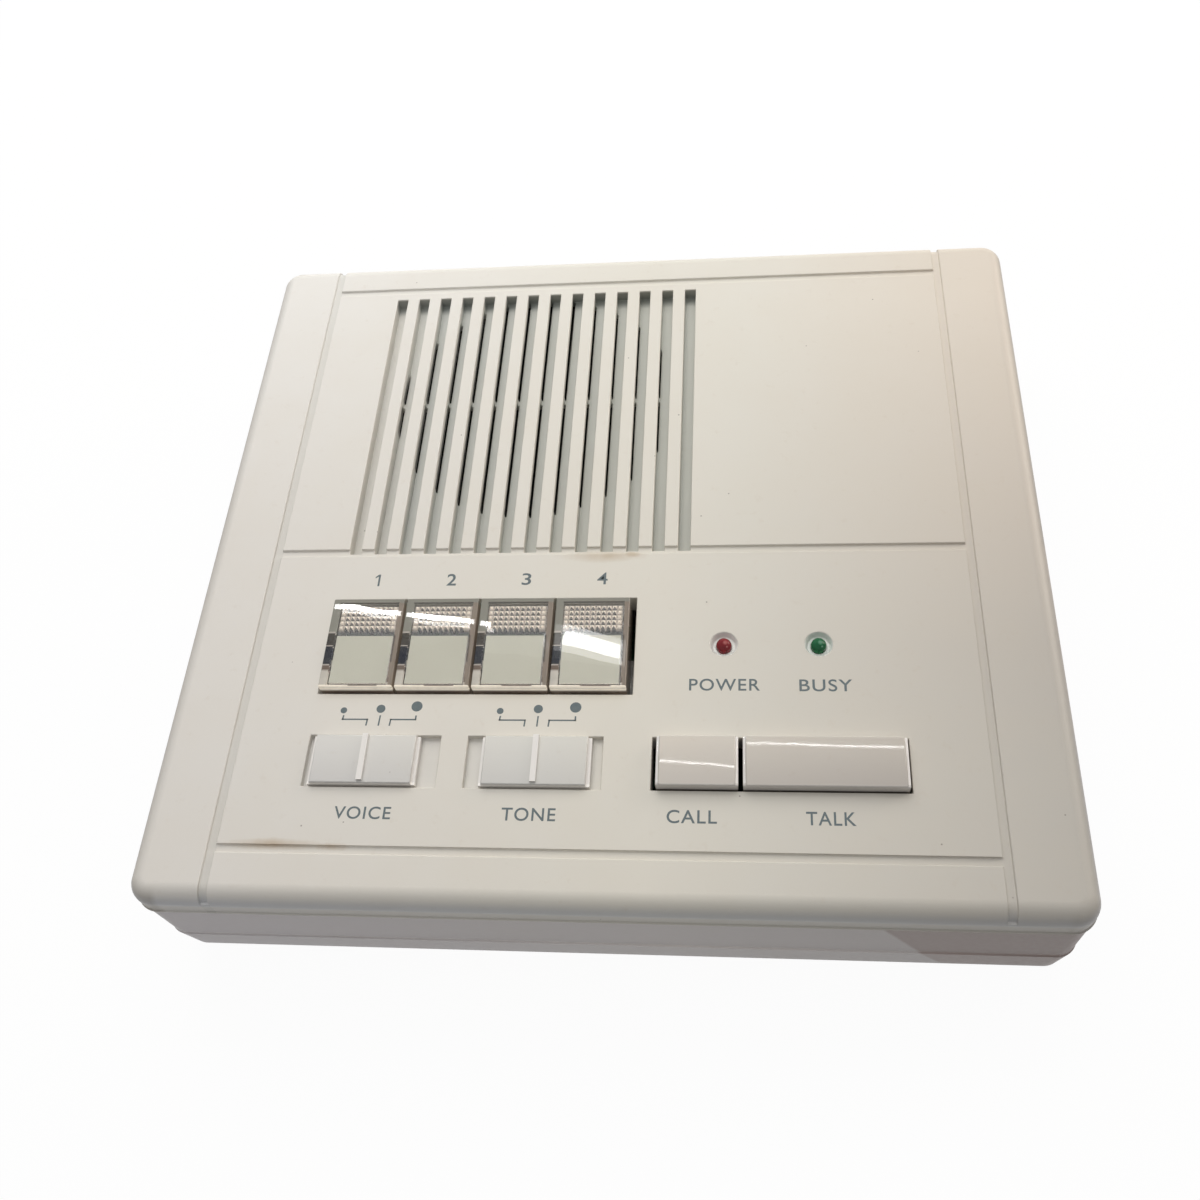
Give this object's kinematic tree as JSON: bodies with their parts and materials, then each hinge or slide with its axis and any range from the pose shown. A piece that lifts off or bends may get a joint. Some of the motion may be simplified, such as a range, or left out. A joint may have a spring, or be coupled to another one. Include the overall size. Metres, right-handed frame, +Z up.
{
  "type": "desk intercom master station",
  "caption": "Low desktop intercom master: slotted speaker grille, clear station keys, tone and voice slides, call and talk keys, and two signal lamps.",
  "frame": {"origin": "middle of the footprint, at the underside of the rubber feet", "axes": "+X to the user's right, +Y to the back, +Z up"},
  "size_m": [0.1906, 0.1766, 0.039],
  "materials": {
    "cover_plastic": "satin moulded plastic, slightly yellowed",
    "base_plastic": "satin moulded plastic",
    "key_plastic": "polished moulded plastic",
    "knob_plastic": "satin moulded plastic",
    "clear_acrylic": "clear moulded acrylic",
    "lens_acrylic": "clear acrylic with prisms on its underside",
    "slip_paper": "plain card",
    "holder_plastic": "moulded plastic",
    "switch_plastic": "moulded plastic",
    "slide_can": "plated steel sheet",
    "frame_steel": "plated steel sheet",
    "red_lamp": "tinted clear resin",
    "green_lamp": "tinted clear resin",
    "clear_lamp": "clear resin",
    "circuit_board": "glass-fibre laminate with green lacquer",
    "screw_steel": "zinc-plated steel",
    "basket_steel": "black paint on pressed steel",
    "magnet_ferrite": "ferrite ring between steel plates",
    "cone_paper": "dark moulded paper pulp",
    "cap_cloth": "impregnated cloth",
    "gasket_card": "pressed card",
    "foot_rubber": "soft rubber",
    "core_steel": "laminated steel with a wound bobbin",
    "can_sleeve": "sleeved aluminium",
    "chip_resin": "moulded resin",
    "socket_plastic": "moulded plastic",
    "terminal_plastic": "moulded plastic",
    "ribbon_plastic": "flat jumper with two connectors"
  },
  "bodies": {
    "case": {"top_cover": "cover_plastic", "base_shell": "base_plastic", "rubber_feet": "foot_rubber", "case_screws": "screw_steel", "speaker_gasket": "gasket_card", "speaker_basket": "basket_steel", "speaker_magnet": "magnet_ferrite", "speaker_cone": "cone_paper", "speaker_dust_cap": "cap_cloth", "speaker_clamps": "frame_steel", "clamp_screws": "screw_steel", "key_frame": "frame_steel", "key_lamps": "clear_lamp", "call_switch": "switch_plastic", "talk_switch": "switch_plastic", "voice_switch": "slide_can", "tone_switch": "slide_can", "power_led": "red_lamp", "busy_led": "green_lamp", "control_board": "circuit_board", "amplifier_board": "circuit_board", "control_board_screws": "screw_steel", "amplifier_board_screws": "screw_steel", "transformer": "core_steel", "capacitors": "can_sleeve", "audio_chips": "chip_resin", "board_ribbon": "ribbon_plastic", "dc_jack": "socket_plastic", "terminal_block": "terminal_plastic", "terminal_screws": "screw_steel", "key_switch_1": "switch_plastic", "key_switch_2": "switch_plastic", "key_switch_3": "switch_plastic", "key_switch_4": "switch_plastic"},
    "key_1": {"key_cap_1": "clear_acrylic", "key_lens_1": "lens_acrylic", "key_label_1": "slip_paper", "key_holder_1": "holder_plastic"},
    "key_2": {"key_cap_2": "clear_acrylic", "key_lens_2": "lens_acrylic", "key_label_2": "slip_paper", "key_holder_2": "holder_plastic"},
    "key_3": {"key_cap_3": "clear_acrylic", "key_lens_3": "lens_acrylic", "key_label_3": "slip_paper", "key_holder_3": "holder_plastic"},
    "key_4": {"key_cap_4": "clear_acrylic", "key_lens_4": "lens_acrylic", "key_label_4": "slip_paper", "key_holder_4": "holder_plastic"},
    "call_key": {"call_button": "key_plastic"},
    "talk_key": {"talk_button": "key_plastic"},
    "voice_slide": {"voice_knob": "knob_plastic", "voice_lever": "switch_plastic"},
    "tone_slide": {"tone_knob": "knob_plastic", "tone_lever": "switch_plastic"}
  },
  "joints": [
    {"name": "key_1_press", "type": "slide", "parent": "case", "child": "key_1", "axis": [0, 0, -1], "range_m": [0, 0.0035], "stiffness_N_per_m": 300, "springref_m": -0.0015},
    {"name": "key_2_press", "type": "slide", "parent": "case", "child": "key_2", "axis": [0, 0, -1], "range_m": [0, 0.0035], "stiffness_N_per_m": 300, "springref_m": -0.0015},
    {"name": "key_3_press", "type": "slide", "parent": "case", "child": "key_3", "axis": [0, 0, -1], "range_m": [0, 0.0035], "stiffness_N_per_m": 300, "springref_m": -0.0015},
    {"name": "key_4_press", "type": "slide", "parent": "case", "child": "key_4", "axis": [0, 0, -1], "range_m": [0, 0.0035], "stiffness_N_per_m": 300, "springref_m": -0.0015},
    {"name": "call_press", "type": "slide", "parent": "case", "child": "call_key", "axis": [0, 0, -1], "range_m": [0, 0.002], "stiffness_N_per_m": 400, "springref_m": -0.001},
    {"name": "talk_press", "type": "slide", "parent": "case", "child": "talk_key", "axis": [0, 0, -1], "range_m": [0, 0.002], "stiffness_N_per_m": 400, "springref_m": -0.001},
    {"name": "voice_shift", "type": "slide", "parent": "case", "child": "voice_slide", "axis": [1, 0, 0], "range_m": [0, 0.004]},
    {"name": "tone_shift", "type": "slide", "parent": "case", "child": "tone_slide", "axis": [1, 0, 0], "range_m": [-0.002, 0.002]}
  ]
}
